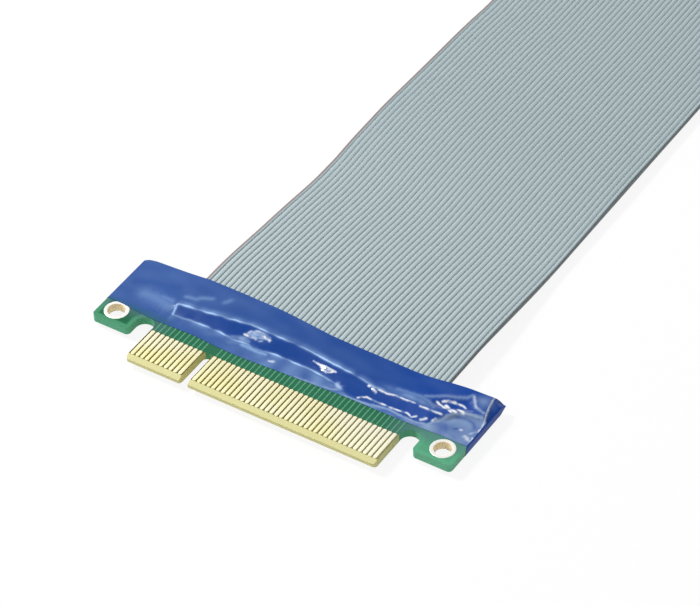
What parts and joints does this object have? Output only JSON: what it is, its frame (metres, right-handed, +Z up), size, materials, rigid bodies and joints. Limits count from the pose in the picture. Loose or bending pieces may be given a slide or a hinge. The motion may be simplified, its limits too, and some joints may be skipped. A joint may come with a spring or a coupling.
{
  "type": "pcie x8 ribbon riser extension",
  "caption": "Flat twin-ribbon extension with a gold card-edge board at one end and a card slot on a small board at the other, both solder rows covered by blue tape.",
  "frame": {"origin": "middle of the card-edge tongue's front edge, half way through the board's thickness", "axes": "+X along the row of fingers, +Y from the card edge along the ribbon to the slot, +Z up from the surface it lies on"},
  "size_m": [0.0744, 0.1866, 0.0075],
  "materials": {
    "board": "green solder mask over glass laminate",
    "gold": "thin gold plating",
    "plating": "bright tinned copper",
    "solder": "bright solder",
    "tape": "glossy film",
    "ribbon": "satin insulation",
    "housing": "moulded"
  },
  "bodies": {
    "root": {"edge_board": "board", "upper_fingers": "gold", "lower_fingers": "gold", "hole_plating": "plating", "upper_edge_joints": "solder", "lower_edge_joints": "solder", "edge_tape": "tape", "upper_ribbon": "ribbon", "lower_ribbon": "ribbon", "socket_board": "board", "upper_socket_joints": "solder", "lower_socket_joints": "solder", "socket_tape": "tape", "slot_housing": "housing", "upper_contacts": "gold", "lower_contacts": "gold"}
  },
  "joints": []
}
